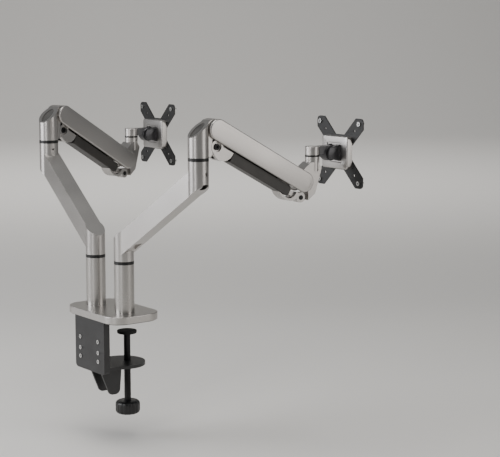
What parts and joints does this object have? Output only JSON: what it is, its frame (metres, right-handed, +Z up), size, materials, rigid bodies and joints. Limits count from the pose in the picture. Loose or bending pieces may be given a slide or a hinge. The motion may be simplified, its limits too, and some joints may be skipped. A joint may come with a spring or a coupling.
{
  "type": "dual monitor arm",
  "caption": "Desk-clamped double display stand with two rising lower arms, parallel gas-spring arms, tilting heads and VESA plates.",
  "frame": {"origin": "desk surface under the base plate, midway between the two posts", "axes": "+Z up; -Y towards the user and the displays; +X towards the arm that stands on the user's left facing it from behind"},
  "size_m": [0.6187, 0.3809, 0.5245],
  "materials": {
    "plate_silver": "satin anodised, fine blasted grain",
    "satin_silver": "satin silver powder on die-cast metal",
    "rubber_black": "matt",
    "steel_bright": "bright zinc",
    "steel_black": "black oxide",
    "plastic_black": "fine matt",
    "plastic_grey": "fine matt",
    "plastic_charcoal": "satin",
    "clamp_black": "semi-matt powder coat",
    "plate_black": "semi-matt powder coat",
    "gunmetal": "satin dark coat"
  },
  "bodies": {
    "stand": {"base_plate": "plate_silver", "base_pad": "rubber_black", "post_left": "satin_silver", "post_right": "satin_silver", "post_bolts": "steel_bright", "post_bushes": "plastic_black", "post_rings": "plastic_black", "clamp_bracket": "clamp_black", "bracket_screws": "steel_black", "clamp_jaw": "clamp_black", "jaw_screws": "steel_bright"},
    "clamp_pad_carrier": {"clamp_pad": "rubber_black"},
    "clamp_screw": {"clamp_rod": "steel_black", "clamp_knob": "plastic_black"},
    "right_lower": {"right_lower_arm": "satin_silver", "right_elbow_ring": "plastic_black"},
    "right_elbow": {"right_elbow_housing": "satin_silver", "right_elbow_cap": "plastic_grey", "right_gas_pin": "steel_bright"},
    "right_spring_arm": {"right_arm_cover": "satin_silver", "right_arm_frame": "satin_silver", "right_pivot_pins": "steel_bright", "right_gas_cylinder": "steel_black"},
    "right_gas_piston": {"right_gas_rod": "steel_bright"},
    "right_link": {"right_lower_link": "satin_silver", "right_cable_channel": "plastic_charcoal", "right_link_pins": "steel_black"},
    "right_head_carrier": {"right_head_bracket": "satin_silver", "right_head_ring": "plastic_black"},
    "right_head": {"right_head_swivel": "satin_silver", "right_head_link": "gunmetal"},
    "right_tilt_head": {"right_vesa_box": "satin_silver", "right_tilt_pin": "steel_black"},
    "right_screen_plate": {"right_vesa_plate": "plate_black", "right_vesa_screws": "steel_bright"},
    "left_lower": {"left_lower_arm": "satin_silver", "left_elbow_ring": "plastic_black"},
    "left_elbow": {"left_elbow_housing": "satin_silver", "left_elbow_cap": "plastic_grey", "left_gas_pin": "steel_bright"},
    "left_spring_arm": {"left_arm_cover": "satin_silver", "left_arm_frame": "satin_silver", "left_pivot_pins": "steel_bright", "left_gas_cylinder": "steel_black"},
    "left_gas_piston": {"left_gas_rod": "steel_bright"},
    "left_link": {"left_lower_link": "satin_silver", "left_cable_channel": "plastic_charcoal", "left_link_pins": "steel_black"},
    "left_head_carrier": {"left_head_bracket": "satin_silver", "left_head_ring": "plastic_black"},
    "left_head": {"left_head_swivel": "satin_silver", "left_head_link": "gunmetal"},
    "left_tilt_head": {"left_vesa_box": "satin_silver", "left_tilt_pin": "steel_black"},
    "left_screen_plate": {"left_vesa_plate": "plate_black", "left_vesa_screws": "steel_bright"}
  },
  "joints": [
    {"name": "clamp_knob_turn", "type": "hinge", "parent": "clamp_pad_carrier", "child": "clamp_screw", "pos_m": [0, -0.033, -0.165], "axis": [0, 0, 1], "range_deg": [-8640, 3240]},
    {"name": "clamp_pad_slide", "type": "slide", "parent": "stand", "child": "clamp_pad_carrier", "axis": [0, 0, 1], "range_m": [-0.0421, 0.0158]},
    {"name": "right_post_swivel", "type": "hinge", "parent": "stand", "child": "right_lower", "pos_m": [0.0455, 0, 0.1], "axis": [0, 0, 1], "range_deg": [-40, 90]},
    {"name": "right_elbow_swivel", "type": "hinge", "parent": "right_lower", "child": "right_elbow", "pos_m": [0.21529, -0.00851, 0.284], "axis": [0, 0, 1], "range_deg": [-95, 150]},
    {"name": "right_arm_lift", "type": "hinge", "parent": "right_elbow", "child": "right_spring_arm", "pos_m": [0.22373, -0.03626, 0.331], "axis": [-0.9567, -0.2912, 0], "range_deg": [-16, 64]},
    {"name": "right_link_follow", "type": "hinge", "parent": "right_elbow", "child": "right_link", "pos_m": [0.22373, -0.03626, 0.303], "axis": [-0.9567, -0.2912, 0], "range_deg": [-16, 64]},
    {"name": "right_gas_rod_slide", "type": "slide", "parent": "right_spring_arm", "child": "right_gas_piston", "axis": [0.2552, -0.8383, -0.4817], "range_m": [-0.01045, 0.00262]},
    {"name": "right_head_level", "type": "hinge", "parent": "right_spring_arm", "child": "right_head_carrier", "pos_m": [0.27353, -0.19984, 0.237], "axis": [-0.9567, -0.2912, 0], "range_deg": [-64, 16]},
    {"name": "right_head_swivel_turn", "type": "hinge", "parent": "right_head_carrier", "child": "right_head", "pos_m": [0.28209, -0.22797, 0.277], "axis": [0, 0, 1], "range_deg": [-60, 60]},
    {"name": "right_screen_tilt", "type": "hinge", "parent": "right_head", "child": "right_tilt_head", "pos_m": [0.28209, -0.26297, 0.28], "axis": [1, 0, 0], "range_deg": [-45, 45]},
    {"name": "right_screen_turn", "type": "hinge", "parent": "right_tilt_head", "child": "right_screen_plate", "pos_m": [0.28209, -0.28827, 0.28], "axis": [0, -1, 0], "range_deg": [-90, 90]},
    {"name": "left_post_swivel", "type": "hinge", "parent": "stand", "child": "left_lower", "pos_m": [-0.0455, 0, 0.1], "axis": [0, 0, 1], "range_deg": [-90, 40]},
    {"name": "left_elbow_swivel", "type": "hinge", "parent": "left_lower", "child": "left_elbow", "pos_m": [-0.21155, -0.03642, 0.284], "axis": [0, 0, 1], "range_deg": [-150, 95]},
    {"name": "left_arm_lift", "type": "hinge", "parent": "left_elbow", "child": "left_spring_arm", "pos_m": [-0.21245, -0.0654, 0.331], "axis": [-0.9995, 0.0309, 0], "range_deg": [-16, 64]},
    {"name": "left_link_follow", "type": "hinge", "parent": "left_elbow", "child": "left_link", "pos_m": [-0.21245, -0.0654, 0.303], "axis": [-0.9995, 0.0309, 0], "range_deg": [-16, 64]},
    {"name": "left_gas_rod_slide", "type": "slide", "parent": "left_spring_arm", "child": "left_gas_piston", "axis": [-0.0271, -0.8759, -0.4817], "range_m": [-0.01045, 0.00262]},
    {"name": "left_head_level", "type": "hinge", "parent": "left_spring_arm", "child": "left_head_carrier", "pos_m": [-0.21773, -0.23632, 0.237], "axis": [-0.9995, 0.0309, 0], "range_deg": [-64, 16]},
    {"name": "left_head_swivel_turn", "type": "hinge", "parent": "left_head_carrier", "child": "left_head", "pos_m": [-0.21864, -0.26571, 0.277], "axis": [0, 0, 1], "range_deg": [-60, 60]},
    {"name": "left_screen_tilt", "type": "hinge", "parent": "left_head", "child": "left_tilt_head", "pos_m": [-0.21864, -0.30071, 0.28], "axis": [1, 0, 0], "range_deg": [-45, 45]},
    {"name": "left_screen_turn", "type": "hinge", "parent": "left_tilt_head", "child": "left_screen_plate", "pos_m": [-0.21864, -0.32601, 0.28], "axis": [0, -1, 0], "range_deg": [-90, 90]}
  ],
  "couplings": [
    {"joint": "clamp_pad_slide", "follows": "clamp_knob_turn", "m_per_rad": 0.00027852},
    {"joint": "right_link_follow", "follows": "right_arm_lift", "ratio": 1},
    {"joint": "right_head_level", "follows": "right_arm_lift", "ratio": -1},
    {"joint": "right_gas_rod_slide", "follows": "right_arm_lift", "m_per_rad": -0.0093},
    {"joint": "left_link_follow", "follows": "left_arm_lift", "ratio": 1},
    {"joint": "left_head_level", "follows": "left_arm_lift", "ratio": -1},
    {"joint": "left_gas_rod_slide", "follows": "left_arm_lift", "m_per_rad": -0.0093}
  ]
}
